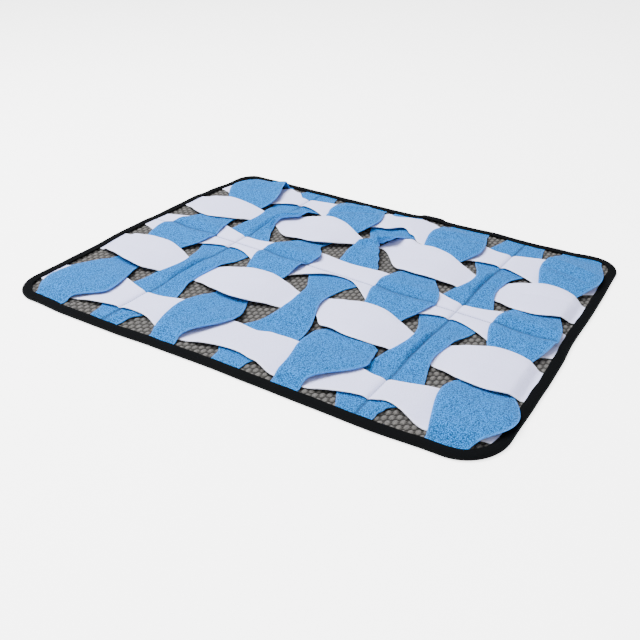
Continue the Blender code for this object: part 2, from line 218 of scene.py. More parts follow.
HANG_POWER = 0.8  # how soon a hanging margin turns down: 1 is a straight slope
STITCH_DIP = 0.12  # further share lost at each stitch hole
PUFF_HOLD = (22.0, 40.0)  # how far from a crossing on top a seam's puffs are whole and where gone
PUFF_PLACE = 5.5  # distance of the puffs from their seam
PUFF_WIDTH = 3.5
EDGE_FADE = 1.1  # how soon the painted highlight along the cut edge fades inwards

# Margins that hang down on a raised fold's near side: places along the strip with the margin's width
# and its drop, at the upper side
BLUE_HANGS = {
    2: ((-122, 4, 0), (-100, 5, 2.6), (-78, 5, 2.6), (-56, 4, 0), (62, 5, 0), (84, 5, 4),
        (108, 5, 5.5), (130, 4.5, 4.5), (142, 4, 1.5), (150, 4, 0)),
    4: ((92, 4, 0), (98, 4, 3), (104, 3.5, 11), (112, 3.5, 10), (121, 4, 5), (130, 4, 0)),
    6: ((-112, 4, 0), (-88, 4.5, 2.5), (-62, 4, 0), (60, 4, 0), (84, 4.5, 2.5), (106, 4, 0)),
}
# Soft ridges and troughs in the lifted cloth: from x, y to x, y, half width, height
BLUE_CREASES = {
    1: ((-270, -215, -262, -160, 9, -1.4), (-300, 40, -235, 60, 7, -1.3),
        (-265, 175, -235, 215, 8, -1.6)),
    2: ((-157, 60, -150, 100, 6, -1.6), (-178, 96, -170, 126, 4, 1.6), (-160, -106, -156, -64, 5, 2.2)),
    3: ((-110, 165, -40, 200, 6, -2.6), (-95, 190, -60, 215, 6, 2.2), (-90, -205, -70, -150, 10, -1.3),
        (-85, 35, -50, 55, 7, -1.3)),
    4: ((2, 114, 15, 115, 4.5, -5.5), (-10, 96, 20, 106, 6, 6), (6, 50, 12, 86, 7, -0.8)),
    5: ((80, 165, 150, 190, 7, -1.6), (95, -200, 120, -150, 10, -1.3), (80, 190, 120, 205, 6, 1.3),
        (90, 20, 140, 35, 7, -1.1)),
    7: ((262, 168, 322, 152, 6, -3.0), (258, 196, 322, 172, 5, 2.8), (285, -205, 300, -150, 10, -1.1),
        (270, -25, 330, -15, 7, -1.1)),
}
WHITE_CREASES = {
    2: ((-310, -85, -240, -80, 9, -1.0), (-110, -105, -60, -80, 9, -1.1), (80, -95, 130, -75, 9, -1.0),
        (265, -100, 320, -90, 8, -1.0)),
    4: ((-290, 120, -240, 130, 8, -1.0), (-110, 100, -50, 125, 9, -1.1), (70, 85, 140, 110, 9, -1.1),
        (260, 80, 330, 88, 5, -1.3)),
}
# Puffs and swells in the cloth whether it is lifted or not, laid out in the same way
BLUE_PUFFS = {
    2: ((-166, -232, -158, -214, 6.5, 3.6), (-176, -230, -172, -214, 2.5, -0.8)),
    5: ((80, -128, 141, -127, 10, 4.2),),
    6: ((203, -226, 208, -212, 6, 2.2),),
}
WHITE_PUFFS = {
    4: ((38, 147, 58, 142, 10, 5.5),),
}

# The two kinds of strip: the axis they run along, half the mat's size that way, their tables, how their
# step and crown ease out over an even and an odd strip, and how a crossing seam draws them down (its
# reach and the lift that the edges keep)
BLUES = SimpleNamespace(
    name="blue", axis=1, half=HALF_DEPTH, sizes=BLUE, over=BLUE_OVER, under=BLUE_UNDER,
    sides=BLUE_SIDES, folds=BLUE_FOLDS, hangs=BLUE_HANGS, creases=BLUE_CREASES, puffs=BLUE_PUFFS,
    seams=SEAM_BLUE, eases=(WAIST_EASE, PETAL_EASE), drawn=(SEAM_REACH, SEAM_EDGE_LIFT))
WHITES = SimpleNamespace(
    name="white", axis=0, half=HALF_WIDTH, sizes=WHITE, over=WHITE_OVER, under=WHITE_UNDER,
    sides=WHITE_SIDES, folds=(), hangs={}, creases=WHITE_CREASES, puffs=WHITE_PUFFS,
    seams=SEAM_WHITE, eases=(PETAL_EASE, PETAL_EASE), drawn=(STITCH_REACH, 0.0))
BLUES.others, WHITES.others = WHITES, BLUES


# ---- settings ----

class SnuffleMatSizes(bpy.types.PropertyGroup):
    """Sizes of the finish that a user may change."""

    lump_width: bpy.props.FloatProperty(
        name="Lump width", description="Spacing of the base cloth's lumps, left to right",
        default=0.0070, unit="LENGTH", subtype="DISTANCE")
    lump_length: bpy.props.FloatProperty(
        name="Lump length", description="Spacing of the base cloth's lumps, front to back",
        default=0.0099, unit="LENGTH", subtype="DISTANCE")
    lump_relief: bpy.props.FloatProperty(
        name="Lump relief", description="Height of a lump over the pits between lumps",
        default=0.0022, unit="LENGTH", subtype="DISTANCE")
    stitch_pitch: bpy.props.FloatProperty(
        name="Stitch pitch", description="Distance from one stitch to the next",
        default=0.0034, unit="LENGTH", subtype="DISTANCE")
    thread: bpy.props.FloatProperty(
        name="Thread", description="Thickness of the sewing thread",
        default=0.00045, unit="LENGTH", subtype="DISTANCE")


class SnuffleMatColours(bpy.types.PropertyGroup):
    """Colours of the finish that a user may change, as linear values."""

    blue: bpy.props.FloatVectorProperty(
        name="Blue fleece", description="Colour of the strips that run front to back",
        default=(0.003, 0.140, 0.420), subtype="COLOR", min=0.0, max=1.0)
    white: bpy.props.FloatVectorProperty(
        name="White fleece", description="Colour of the strips that run left to right",
        default=(0.64, 0.655, 0.95), subtype="COLOR", min=0.0, max=1.0)
    lump: bpy.props.FloatVectorProperty(
        name="Grey lumps", description="Colour of the base cloth's lumps",
        default=(0.132, 0.131, 0.129), subtype="COLOR", min=0.0, max=1.0)
    # painted shade in the pits between the lumps, where their shadow falls
    pit_shade: bpy.props.FloatVectorProperty(
        name="Grey pits", description="Colour of the base cloth between its lumps",
        default=(0.013, 0.0125, 0.012), subtype="COLOR", min=0.0, max=1.0)
    tape: bpy.props.FloatVectorProperty(
        name="Tape", description="Colour of the tape round the edge",
        default=(0.0026, 0.0029, 0.0033), subtype="COLOR", min=0.0, max=1.0)
    thread: bpy.props.FloatVectorProperty(
        name="Thread", description="Colour of the thread in the three seams",
        default=(0.05, 0.12, 0.26), subtype="COLOR", min=0.0, max=1.0)


# ---- shared shape functions ----

def smooth(t):
    """S-shaped ramp, 3t^2 - 2t^3: 0 below 0, 1 above 1."""
    t = np.clip(t, 0.0, 1.0)
    return t * t * (3.0 - 2.0 * t)


def through(rows, place):
    """Value at a place, eased by half cosines through (place, value) rows."""
    place = np.asarray(place, float)
    value = np.full_like(place, rows[0][1])
    for (start, low), (end, high) in zip(rows, rows[1:]):
        part = np.clip((place - start) / (end - start), 0.0, 1.0)
        eased = low + (high - low) * (1.0 - np.cos(np.pi * part)) / 2.0
        value = np.where(place >= start, eased, value)
    return value


def wander(x, y):
    """Move points of the even outline inwards by each side's inset, in proportion to x and y."""
    in_x = np.where(x < 0.0, through(WANDER["left"], y), through(WANDER["right"], y))
    in_y = np.where(y < 0.0, through(WANDER["front"], x), through(WANDER["back"], x))
    return x * (1.0 - in_x / HALF_WIDTH), y * (1.0 - in_y / HALF_DEPTH)


def outline(arc_steps, edge_step):
    """Points round the mat's outer edge, anticlockwise: quarter circles and straight runs, wandered."""
    arcs = []
    for side_x, side_y, radius, start in CORNERS:
        turn = np.radians(start + np.linspace(0.0, 90.0, arc_steps + 1))
        centre = np.array((side_x * (HALF_WIDTH - radius), side_y * (HALF_DEPTH - radius)))
        arcs.append(centre + radius * np.stack((np.cos(turn), np.sin(turn)), axis=1))
    points = []
    for arc, following in zip(arcs, arcs[1:] + arcs[:1]):
        run = following[0] - arc[-1]
        count = round(np.linalg.norm(run) / edge_step)
        parts = np.arange(1, count)[:, None] / count
        points += [arc, arc[-1] + run * parts]
    x, y = wander(*np.concatenate(points).T)
    return np.stack((x, y), axis=1)


COARSE_EDGE = outline(ARC_STEPS, EDGE_STEP)


def normals_of(points):
    """Outward unit normals of a closed anticlockwise line: its tangent turned by a quarter."""
    along = np.roll(points, -1, axis=0) - np.roll(points, 1, axis=0)
    along /= np.linalg.norm(along, axis=1, keepdims=True)
    return np.stack((along[:, 1], -along[:, 0]), axis=1)


def centre_line(kind, number, place):
    """Middle of a strip at a place along it: a straight run from its first end to its last."""
    first, last = kind.sizes[number][:2]
    return first + (last - first) * (place + kind.half) / (2.0 * kind.half)


def along_across(kind, first, second):
    """x and y as the places along and across a kind of strip, or those places as x and y."""
    return (second, first) if kind.axis else (first, second)


def crossing_place(kind, number, other):
    """Where a strip's middle crosses another strip, as a place along it."""
    return float(centre_line(kind.others, other, centre_line(kind, number, 0.0)))


def strip_end(centre, lower, upper, places, edge):
    """Place on one side of the mat nearest its middle, over the width of a strip's end."""
    width = np.linspace(centre - lower, centre + upper, 9)
    order = np.argsort(places)
    return float(np.abs(np.interp(width, places[order], edge[order])).min()) - TUCK


def strip_ends(kind, number):
    """Where a strip starts and ends, inside the tape."""
    size = kind.sizes[number]
    along, across = along_across(kind, *COARSE_EDGE.T)
    first = strip_end(size[0], size[2], size[3], across[along < 0.0], along[along < 0.0])
    last = strip_end(size[1], size[4], size[5], across[along > 0.0], along[along > 0.0])
    return -first, last


def side_rows(kind, number):
    """Rows of (place, reach) for a strip's lower side and for its upper side, sorted by place."""
    size, ends = kind.sizes[number], strip_ends(kind, number)
    both = []
    for k, side in enumerate((-1, 1)):
        rows = [(ends[0] - END_BEYOND, size[2 + k]), (ends[1] + END_BEYOND, size[4 + k])]
        for other in kind.others.sizes:
            usual = WIDE if other % 2 else NARROW
            pair = (number, other)
            row = kind.over.get(pair) or kind.under.get(pair) or (0, usual, 0, usual)
            rows.append((crossing_place(kind, number, other) + row[2 * k], row[2 * k + 1]))
        both.append(sorted([*rows, *kind.sides.get((number, side), ())]))
    return both


def reaches(kind, number, place):
    """Distances from a strip's middle to its lower and upper edges at places along it."""
    return [through(rows, place) for rows in side_rows(kind, number)]


def across_lift(side, lower, middle, upper):
    """Lift that runs from the middle of a strip to its two sides as a parabola."""
    edge = np.where(side < 0.0, lower, upper)
    return middle + (edge - middle) * side ** 2


def eased_out(distance, whole, gone):
    """1 as far as whole from a crossing, easing to 0 at gone."""
    return 1.0 - smooth((np.abs(distance) - whole) / (gone - whole))


def ends_eased(height, place, ends):
    """Bring a strip down to the base before it enters the tape."""
    first = smooth((place - ends[0] - END_FLAT) / END_RISE)
    last = smooth((ends[1] - END_FLAT - place) / END_RISE)
    return LOW + (height - LOW) * first * last


def surface(kind, number, place, side):
    """Underside of a strip at places along it, as x, y and z, with side from -1 (lower edge) to 1
    (upper edge). Height is the base's level plus, at each crossing where the strip is on top, a step
    and a crown that ease out along it, and a bell for each raised fold. Seams press the crown down:
    it is multiplied by 1 - exp(-(distance / reach)^2)."""
    lower, upper = reaches(kind, number, place)
    reach = np.where(side < 0.0, lower, upper)
    centre = centre_line(kind, number, place)
    across = centre + side * reach
    z = np.full_like(across, LOW)
    for other in kind.others.sizes:
        if (number, other) not in kind.over:
            continue
        distance = place - centre_line(kind.others, other, across)
        lift = across_lift(side, *kind.over[number, other][4:])
        if other in kind.others.seams:
            drawn = np.exp(-(distance / kind.drawn[0]) ** 2)
            lift = lift * (1.0 - drawn) + drawn * kind.drawn[1] * side ** 2
        if number in kind.seams:
            lift = lift * (1.0 - np.exp(-((across - centre) / STITCH_REACH) ** 2))
        step, crown = kind.eases[other % 2]
        z += (OVER - LOW) * eased_out(distance, *step) + lift * eased_out(distance, *crown)
    for strip, middle, reach_along, reach_across, height in kind.folds:
        if strip == number:
            along = (place - middle) / reach_along
            z += height * np.exp(-along ** 2 - ((side - 1.0) * reach / reach_across) ** 2)
    x, y = along_across(kind, place, across)
    return x, y, ends_eased(z, place, strip_ends(kind, number))


# ---- meshes ----

def put_mesh(name, points, faces, finish, values=None):
    """One object at the origin from points in millimetres, with a point attribute for each of values."""
    mesh = bpy.data.meshes.new(name)
    mesh.from_pydata((points * MM).tolist(), [], faces)
    for label, numbers in (values or {}).items():
        made = mesh.attributes.new(label, "FLOAT", "POINT")
        made.data.foreach_set("value", np.asarray(numbers, np.float32).ravel())
    mesh.materials.append(finish)
    mesh.shade_smooth()
    made = bpy.data.objects.new(name, mesh)
    bpy.context.scene.collection.objects.link(made)
    return made


def ring_quads(count, rings, closed):
    """Quads between rings of count points each, as one array; closed joins the last to the first."""
    last = rings if closed else rings - 1
    ring, i = np.meshgrid(np.arange(last), np.arange(count), indexing="ij")
    following, j = (ring + 1) % rings, (i + 1) % count
    quads = (ring * count + i, ring * count + j, following * count + j, following * count + i)
    return np.stack(quads, axis=-1).reshape(-1, 4)


def half_steps(length, seamed):
    """Distances from a section's split to its edge: even, but close together near the cut edge and, on
    a strip with a seam, near the split."""
    inner = length - EDGE_INSETS[-1]
    if seamed:
        near = np.array(SEAM_STEPS) * np.minimum(1.0, inner / SEAM_ROOM)[:, None]
    else:
        near = np.zeros((len(length), 1))
    parts = np.linspace(0.0, 1.0, HALF_ACROSS + 1)[1:]
    far = near[:, -1:] + (inner[:, None] - near[:, -1:]) * parts
    edge = length[:, None] - np.array(EDGE_INSETS[-2::-1])
    return np.concatenate((near, far, edge), axis=1)


def section_steps(lower, upper, seamed):
    """Distances across a strip from its centre line: split at the seam, or half way if it has none."""
    split = np.zeros_like(lower) if seamed else (upper - lower) / 2.0
    left = split[:, None] - half_steps(split + lower, seamed)
    right = split[:, None] + half_steps(upper - split, seamed)
    return np.concatenate((left[:, ::-1], right[:, 1:]), axis=1)


def stations(ends, seams):
    """Places along a strip: evenly spaced, with closer ones where a seam crosses it."""
    even = np.linspace(*ends, round((ends[1] - ends[0]) / STRIP_STEP) + 1)
    for seam in seams:
        even = even[np.abs(even - seam) > SEAM_ZONE + ZONE_GAP]
        even = np.concatenate((even, seam + np.linspace(-SEAM_ZONE, SEAM_ZONE, ZONE_STEPS)))
    return np.sort(even)


def creased(rows, x, y):
    """Height of soft ridges and troughs: a bell across each run from one point to another, eased out
    past its ends: height * exp(-(distance / width)^2)."""
    total = np.zeros_like(x)
    for x0, y0, x1, y1, width, height in rows:
        run = np.array((x1 - x0, y1 - y0))
        length = np.hypot(*run)
        along = ((x - x0) * run[0] + (y - y0) * run[1]) / length
        off = (x - x0) * run[1] / length - (y - y0) * run[0] / length
        beyond = np.maximum(np.maximum(-along, along - length), 0.0)
        total += height * np.exp(-(off ** 2 + beyond ** 2) / width ** 2)
    return total


def hanging(rows, place, to_side):
    """Drop of a hanging margin: none at its fold and all of it at the cut edge, as a power of the share
    of the way across, so that it turns over a narrow fold and hangs nearly straight."""
    if not rows:
        return np.zeros_like(place)
    width = through([(row[0], row[1]) for row in rows], place)
    drop = through([(row[0], row[2]) for row in rows], place)
    part = np.clip(1.0 - to_side / width, 0.0, 1.0)
    return drop * part ** HANG_POWER


def puffed(kind, number, x, y):
    """Cloth pushed up by the strip's own puffs and, on both sides of a blue strip's own seam where the
    strip is on top, by two bells."""
    puffs = creased(kind.puffs.get(number, ()), x, y)
    if kind is WHITES or number not in kind.seams:
        return puffs
    off = np.abs(x - centre_line(kind, number, y))
    free = sum(eased_out(y - centre_line(WHITES, row, x), *PUFF_HOLD) for row in (2, 4))
    return SEAM_PUFF * free * np.exp(-((off - PUFF_PLACE) / PUFF_WIDTH) ** 2) + puffs


def seam_loss(kind, number, x, y):
    """Share of the thickness lost to the seam along a strip and to those that cross it. Each is a bell
    of the distance from the seam, deeper at each stitch hole by a cosine of the place along it."""
    pitch = bpy.context.scene.snuffle_mat_sizes.stitch_pitch / MM
    lost = np.zeros_like(x)
    own = [(kind, number)] if number in kind.seams else []
    for sewn, line in own + [(kind.others, other) for other in kind.others.seams]:
        along, across = along_across(sewn, x, y)
        bell = np.exp(-((across - centre_line(sewn, line, along)) / SEAM_WIDTH) ** 2)
        lost = np.maximum(
            lost, bell * (SEAM_PINCH + STITCH_DIP * np.cos(2.0 * np.pi * along / pitch)))
    return lost


def strip_points(kind, number):
    """Rings of points round a strip: its middle surface plus and minus half a thickness that falls to
    nothing along a quarter circle at the cut edges, is squeezed at the ends, and is pinched at seams."""
    ends = strip_ends(kind, number)
    places = stations(ends, [crossing_place(kind, number, other) for other in kind.others.seams])
    lower, upper = reaches(kind, number, places)
    offset = section_steps(lower, upper, number in kind.seams)
    lower, upper = lower[:, None], upper[:, None]
    side = offset / np.maximum(np.where(offset < 0.0, lower, upper), LEAST_REACH)
    place = np.repeat(places[:, None], side.shape[1], axis=1)
    x, y, low = surface(kind, number, place, side)
    from_end = np.minimum(place - ends[0], ends[1] - place)
    full = smooth((from_end - SQUEEZE_START) / SQUEEZE_RUN)
    thickness = CLOTH_SQUEEZED + (CLOTH - CLOTH_SQUEEZED) * full
    to_edge = np.clip(np.minimum(offset + lower, upper - offset), 0.0, None)
    inset = np.clip(to_edge / EDGE_INSETS[-1], 0.0, 1.0)
    rounding = np.sqrt(1.0 - (1.0 - inset) ** 2)
    lost = seam_loss(kind, number, x, y)
    lifted = smooth((low - LIFTED_FROM) / LIFTED_RUN)
    droop = EDGE_DROOP * lifted * np.exp(-(to_edge / DROOP_REACH) ** 2)
    low = (low + creased(kind.creases.get(number, ()), x, y) * lifted - droop
           - hanging(kind.hangs.get(number, ()), place, upper - offset))
    low = low + puffed(kind, number, x, y)
    high = low + thickness * (1.0 - lost)
    middle, half = (high + low) / 2.0, (high - low) / 2.0 * rounding
    underside = np.stack((x, y, middle - half), axis=-1)
    topside = np.stack((x, y, middle + half), axis=-1)[:, -2:0:-1]
    edge, seam = (np.concatenate((part, part[:, -2:0:-1]), axis=1) for part in (to_edge, lost))
    return np.concatenate((underside, topside), axis=1), edge, seam, side.shape[1]


def strip_mesh(kind, number, finish):
    """A closed strip of cloth from rings round its sections, with a cap at each end."""
    rings, edge, seam, width = strip_points(kind, number)
    length, count = rings.shape[:2]
    faces = ring_quads(count, length, closed=False).tolist()
    i = np.arange(1, width - 2)
    j = count - i
    fan = np.stack((j, j - 1, i + 1, i), axis=1)
    tips = np.array(((count - 1, 1, 0), (width - 1, width - 2, width)))
    for start, turn in ((0, 1), ((length - 1) * count, -1)):
        for cap in (fan, tips):
            faces += (start + cap)[:, ::turn].tolist()
    # cut_edge masks the painted highlight along the cut edges; seam masks the painted crease shade along
    # the seams
    values = {"cut_edge": np.exp(-edge / EDGE_FADE), "seam": seam / SEAM_PINCH}
    return put_mesh(f"{kind.name}_fleece_{number}", rings.reshape(-1, 3), faces, finish, values)


def turned_out(made):
    """Turn the faces of a closed mesh outwards if its signed volume is negative."""
    mesh = made.data
    mesh.calc_loop_triangles()
    points = np.empty(len(mesh.vertices) * 3, np.float32)
    mesh.vertices.foreach_get("co", points)
    corners = np.empty(len(mesh.loop_triangles) * 3, np.int32)
    mesh.loop_triangles.foreach_get("vertices", corners)
    a, b, c = points.reshape(-1, 3)[corners.reshape(-1, 3)].transpose(1, 0, 2).astype(float)
    if np.einsum("ij,ij->i", a, np.cross(b, c)).sum() < 0.0:
        mesh.flip_normals()
    return made


# ---- finishes ----

FIBRE_WAVES = 1500.0  # the pile's fibres, in waves per metre
FIBRE_SHARE = 0.45  # their share of the pile's height
TUFT_DEPTH = 1.1  # depth of the hollows between tufts
PILE_LEVEL = -0.28  # the pile's mean height, where its shade is half way
WEAVE_WAVES = 2200.0  # unevenness of woven tape, in waves per metre
RIM_HIGHLIGHT_SHARE = 0.8  # how much of the painted highlight along the cut edge shows
SEAM_SHADE_SHARE = 0.72  # how much of the painted crease shade shows along a seam
SEAM_SHADE_POWER = 0.5  # less than 1 widens the painted shade along the seam
LUMP_START = 0.28  # height share above which a lump rises out of the painted pit shade
LUMP_GAIN = 1.5  # how fast it turns from the painted shade to its own grey above that
STREAK_GAIN = 3.2  # contrast of the fibres on the lumps
STREAK_START = 0.85  # darkness taken from them
WARMER = (1.12, 1.05, 1.0)  # the lumps' colour where it is warmest, over the usual one


def inputs(node, **values):
    """Set a node's inputs; underscores in names stand for spaces. Gives the node."""
    for label, value in values.items():
        node.inputs[label.replace("_", " ")].default_value = value
    return node


def new_group(name, scale_label, scale, contrast):
    """A shader node group that takes two colours, a scale and a contrast, and puts out a colour and a
    height. Gives the group, its given values, its outputs and Object coordinates."""
    group = bpy.data.node_groups.new(name, "ShaderNodeTree")
    for way, label, kind, default in (
        ("INPUT", "Colour", "NodeSocketColor", (1.0, 1.0, 1.0, 1.0)),
        ("INPUT", "Deep Colour", "NodeSocketColor", (0.0, 0.0, 0.0, 1.0)),
        ("INPUT", scale_label, "NodeSocketFloat", scale),
        ("INPUT", "Contrast", "NodeSocketFloat", contrast),
        ("OUTPUT", "Colour", "NodeSocketColor", None),
        ("OUTPUT", "Height", "NodeSocketFloat", None),
    ):
        made = group.interface.new_socket(label, in_out=way, socket_type=kind)
        if default is not None:
            made.default_value = default
    given, out = group.nodes.new("NodeGroupInput"), group.nodes.new("NodeGroupOutput")
    return group, given.outputs, out.inputs, group.nodes.new("ShaderNodeTexCoord").outputs["Object"]


def put_out(group, given, out, share, height):
    """Put out a group's two colours mixed by a share, and its height. Gives the group."""
    group.links.new(blended(group, share, given["Colour"], given["Deep Colour"]), out["Colour"])
    group.links.new(height, out["Height"])
    return group


def feed(tree, pairs):
    """Link each (socket, value) pair if the value is a socket, or set the socket to it."""
    for socket, value in pairs:
        if isinstance(value, bpy.types.NodeSocket):
            tree.links.new(value, socket)
        elif value is not None:
            socket.default_value = value


def maths(tree, operation, a, b=None, clamp=False):
    """A Math node whose inputs are sockets or numbers; gives its output."""
    node = tree.nodes.new("ShaderNodeMath")
    node.operation = operation
    node.use_clamp = clamp
    feed(tree, zip(node.inputs, (a, b)))
    return node.outputs[0]


def blended(tree, share, first, second):
    """A colour Mix node whose inputs are sockets or colours; gives its output."""
    node = tree.nodes.new("ShaderNodeMix")
    node.data_type = "RGBA"
    feed(tree, zip((node.inputs["Factor"], node.inputs[6], node.inputs[7]), (share, first, second)))
    return node.outputs[2]


def noise(tree, place, scale, detail, roughness):
    """A Noise Texture node at a scale in waves per metre; gives its factor."""
    node = inputs(
        tree.nodes.new("ShaderNodeTexNoise"), Scale=scale, Detail=detail, Roughness=roughness)
    tree.links.new(place, node.inputs["Vector"])
    return node.outputs["Fac"]


def pile_group():
    """Brushed pile: a noise of fine fibres less the distance from the middle of the nearest pebbly
    tuft, as a height and as a shade."""
    group, given, out, place = new_group("brushed_pile", "Tufts", 400.0, 0.3)
    tuft = group.nodes.new("ShaderNodeTexVoronoi")
    tuft.feature = "SMOOTH_F1"
    inputs(tuft, Smoothness=0.2)
    group.links.new(place, tuft.inputs["Vector"])
    group.links.new(given["Tufts"], tuft.inputs["Scale"])
    fibre = noise(group, place, FIBRE_WAVES, detail=3.0, roughness=0.6)
    hollow = maths(group, "MULTIPLY", tuft.outputs["Distance"], TUFT_DEPTH)
    height = maths(group, "SUBTRACT", maths(group, "MULTIPLY", fibre, FIBRE_SHARE), hollow)
    shade = maths(group, "MULTIPLY", maths(group, "SUBTRACT", height, PILE_LEVEL), given["Contrast"])
    return put_out(group, given, out, maths(group, "SUBTRACT", 0.5, shade, clamp=True), height)


def weave_group():
    """Plain weave: the product of two sine waves along the diagonals of X and Y, with noise, as a
    height and as a shade."""
    group, given, out, place = new_group("plain_weave", "Threads", 900.0, 0.5)
    parts = group.nodes.new("ShaderNodeSeparateXYZ")
    group.links.new(place, parts.inputs["Vector"])
    waves = []
    for slant in (1.0, -1.0):
        across = maths(group, "MULTIPLY", parts.outputs["Y"], slant)
        diagonal = maths(group, "ADD", parts.outputs["X"], across)
        waves.append(maths(group, "SINE", maths(group, "MULTIPLY", diagonal, given["Threads"])))
    crossing = maths(group, "MULTIPLY", *waves)
    fibre = noise(group, place, WEAVE_WAVES, detail=2.0, roughness=0.6)
    height = maths(group, "ADD", maths(group, "MULTIPLY", crossing, 0.5), fibre)
    shade = maths(group, "MULTIPLY", height, given["Contrast"])
    return put_out(group, given, out, maths(group, "SUBTRACT", 1.0, shade, clamp=True), height)


def finish_shader(name, **values):
    """A new material with its even values on the shader itself. Gives the material, its node tree and
    its shader."""
    made = bpy.data.materials.new(name)
    made.use_nodes = True
    return made, made.node_tree, inputs(made.node_tree.nodes["Principled BSDF"], **values)


def bumped(tree, shader, height, distance):
    """Feed a height to the shader's normal through a Bump node."""
    bump = inputs(tree.nodes.new("ShaderNodeBump"), Strength=1.0, Distance=distance)
    tree.links.new(height, bump.inputs["Height"])
    tree.links.new(bump.outputs["Normal"], shader.inputs["Normal"])


def attribute(tree, name):
    """A point attribute's value."""
    node = tree.nodes.new("ShaderNodeAttribute")
    node.attribute_name = name
    return node.outputs["Fac"]


def grouped(tree, name, make, **values):
    """Place a node group, made on first use, with its own values."""
    node = tree.nodes.new("ShaderNodeGroup")
    node.node_tree = bpy.data.node_groups.get(name) or make()
    return inputs(node, **values)


def opaque(colour, scale=1.0):
    """A colour property as four numbers, scaled in brightness."""
    return tuple(min(1.0, c * scale) for c in colour) + (1.0,)


def toned(colour, red, green, blue):
    """A colour as four numbers, its red raised by an amount and its green and blue scaled."""
    return (colour[0] + red, colour[1] * green, colour[2] * blue, 1.0)


def fleece(name, colour, deep, edge, seam_shade, tufts, contrast, relief, sheen):
    """Brushed fleece: pebbly pile, with a painted highlight where the cut edge shows and a painted
    crease shade along the seams, where the pile is pressed flat."""
    made, tree, shader = finish_shader(
        name, Roughness=0.95, Specular_IOR_Level=0.12, Sheen_Weight=sheen, Sheen_Roughness=0.45,
        Sheen_Tint=(1.0, 1.0, 1.0, 1.0))
    pile = grouped(
        tree, "brushed_pile", pile_group, Colour=colour, Deep_Colour=deep, Tufts=tufts,
        Contrast=contrast)
    # the edge colour is a painted highlight, mixed in along the cut edges
    rim = maths(tree, "MULTIPLY", attribute(tree, "cut_edge"), RIM_HIGHLIGHT_SHARE, clamp=True)
    rim_highlighted = blended(tree, rim, pile.outputs["Colour"], edge)
    seam = maths(tree, "POWER", attribute(tree, "seam"), SEAM_SHADE_POWER)
    # painted crease shade: the seam colour is mixed in where the seam pinches the pile
    pressed = maths(tree, "MULTIPLY", seam, SEAM_SHADE_SHARE, clamp=True)
    tree.links.new(blended(tree, pressed, rim_highlighted, seam_shade), shader.inputs["Base Color"])
    bumped(tree, shader, pile.outputs["Height"], relief)
    return made


def lumpy_cloth():
    """The base cloth: grey lumps with painted shade in the pits between them, from the lump attribute,
    with slanting fibres.
    """
    colours = bpy.context.scene.snuffle_mat_colours
    made, tree, shader = finish_shader(
        "grey_lumpy_cloth", Roughness=0.9, Specular_IOR_Level=0.1, Sheen_Weight=0.03,
        Sheen_Roughness=0.5, Sheen_Tint=(1.0, 1.0, 1.0, 1.0))
    place = tree.nodes.new("ShaderNodeTexCoord").outputs["Object"]
    slanted = inputs(
        tree.nodes.new("ShaderNodeMapping"), Rotation=(0.0, 0.0, np.radians(38.0)),
        Scale=(1.0, 4.0, 1.0))
    tree.links.new(place, slanted.inputs["Vector"])
    fibre = noise(tree, slanted.outputs["Vector"], scale=560.0, detail=3.0, roughness=0.6)
    tint = noise(tree, place, scale=45.0, detail=2.0, roughness=0.5)
    above = maths(tree, "SUBTRACT", attribute(tree, "lump"), LUMP_START)
    raised = maths(tree, "MULTIPLY", above, LUMP_GAIN, clamp=True)
    streaks = maths(tree, "SUBTRACT", maths(tree, "MULTIPLY", fibre, STREAK_GAIN), STREAK_START)
    light = maths(tree, "MULTIPLY", raised, streaks, clamp=True)
    warm = opaque(np.multiply(colours.lump, WARMER).tolist())
    warm = blended(tree, tint, opaque(colours.lump), warm)
    # the lumps' own grey on their tops, the painted pit shade between them
    tree.links.new(blended(tree, light, opaque(colours.pit_shade), warm), shader.inputs["Base Color"])
    bumped(tree, shader, fibre, distance=0.0006)
    return made


def tape_cloth(name, colour, sheen):
    """Woven tape or sewing thread: a fine plain weave."""
    made, tree, shader = finish_shader(
        name, Roughness=0.8, Specular_IOR_Level=0.02, Sheen_Weight=sheen, Sheen_Roughness=0.4,
        Sheen_Tint=(0.75, 0.85, 1.0, 1.0))
    weave = grouped(
        tree, "plain_weave", weave_group, Colour=opaque(colour, 1.6), Deep_Colour=opaque(colour, 0.5),
        Threads=4200.0, Contrast=0.8)
    tree.links.new(weave.outputs["Colour"], shader.inputs["Base Color"])
    bumped(tree, shader, weave.outputs["Height"], distance=0.00015)
    return made


# ---- base cloth ----

RIM = 6.0  # inset of the lumpy top's edge, hidden inside the tape
RIM_LUMP = 0.5  # share of a lump's height that the rim keeps
PLAIN_LUMP = 0.7  # lightness of the cloth's plain sides and underside
CELLS = 4  # surface steps across one lump, each way
GRID_COLUMNS = 204  # steps from the middle of the lumpy top's grid to its side
GRID_ROWS = 106  # steps from its middle to its front
ROW_SLOPE = -0.06  # the lump rows run slightly down to the right
DOME = (0.57, 0.56)  # half a lump's width and length, as shares of the lumps' spacing


def nearest_on(line, points):
    """For each point, the nearest place on a closed line (as a fraction of its segments) and whether
    the point is inside: it is left of the nearest segment of an anticlockwise line."""
    starts, runs = line, np.roll(line, -1, axis=0) - line
    part = np.einsum("psk,sk->ps", points[:, None] - starts, runs) / (runs ** 2).sum(axis=1)
    part = np.clip(part, 0.0, 1.0)
    off = points[:, None] - (starts + part[..., None] * runs)
    best = (off ** 2).sum(axis=2).argmin(axis=1)
    row = np.arange(len(points))
    run, gap = runs[best], points - starts[best]
    inside = run[:, 0] * gap[:, 1] - run[:, 1] * gap[:, 0] > 0.0
    return best + part[row, best], inside


def on_line(line, place):
    """Points of a closed line at fractions of its segments."""
    first = np.floor(place).astype(int) % len(line)
    part = (place - np.floor(place))[:, None]
    return line[first] * (1.0 - part) + np.roll(line, -1, axis=0)[first] * part


